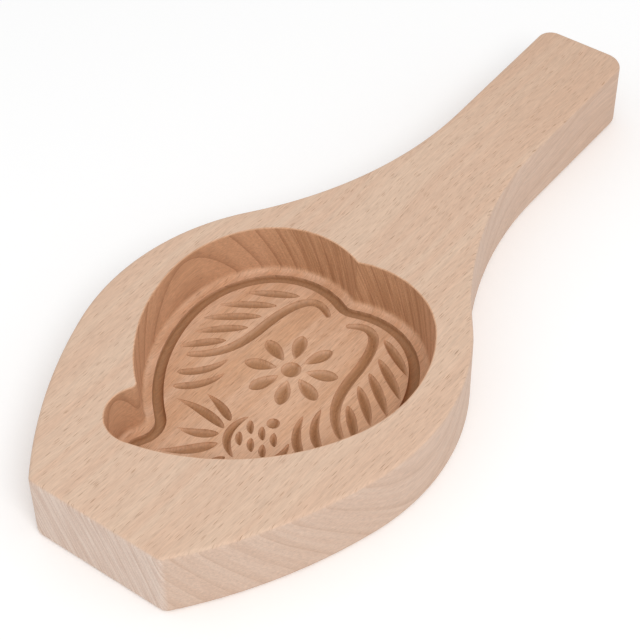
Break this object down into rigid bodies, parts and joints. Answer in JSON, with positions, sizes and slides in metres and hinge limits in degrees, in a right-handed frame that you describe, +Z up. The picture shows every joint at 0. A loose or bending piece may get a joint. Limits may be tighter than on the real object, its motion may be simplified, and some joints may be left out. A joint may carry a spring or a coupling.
{
  "type": "mooncake mould",
  "caption": "One-piece carved beech mooncake mould: a flat paddle with a drafted peach-shaped cavity, a leaf relief gouged in its floor and a waisted grip.",
  "frame": {"origin": "middle of the underside, halfway between the nose and the end of the grip", "axes": "+X from the nose to the end of the grip, +Z up out of the cavity's open side, +Y to the side that the peach's tip curls to"},
  "size_m": [0.25, 0.11, 0.023],
  "materials": {
    "beech": "satin"
  },
  "bodies": {
    "root": {"mould_body": "beech"}
  },
  "joints": []
}
